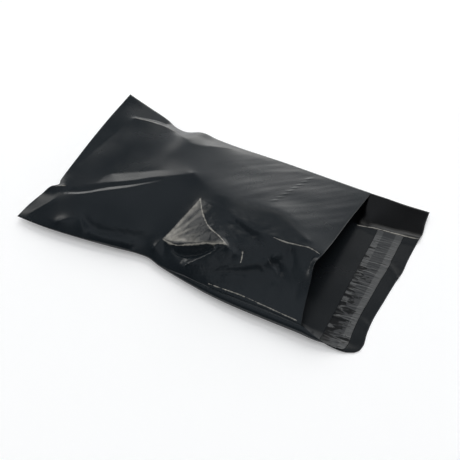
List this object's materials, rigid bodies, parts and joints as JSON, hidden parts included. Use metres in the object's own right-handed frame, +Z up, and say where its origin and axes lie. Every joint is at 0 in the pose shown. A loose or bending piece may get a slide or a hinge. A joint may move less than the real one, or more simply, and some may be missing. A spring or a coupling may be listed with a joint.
{
  "type": "poly mailer bag",
  "caption": "Open black polyethylene mailer bag lying flat, with a creased, lightly filled pouch, welded side seams, and an unfolded flap with a glue strip under its gray release liner.",
  "frame": {"origin": "On the floor, under the middle of the whole bag's footprint.", "axes": "+X runs from the sealed end to the flap, +Y from the near side to the far side, +Z is up from the back panel to the front panel."},
  "size_m": [0.2642, 0.1531, 0.0245],
  "materials": {
    "black_film": "gloss",
    "clear_glue": "satin",
    "gray_liner": "gloss"
  },
  "bodies": {
    "root": {"bag_film": "black_film", "glue_strip": "clear_glue", "release_liner": "gray_liner"}
  },
  "joints": []
}
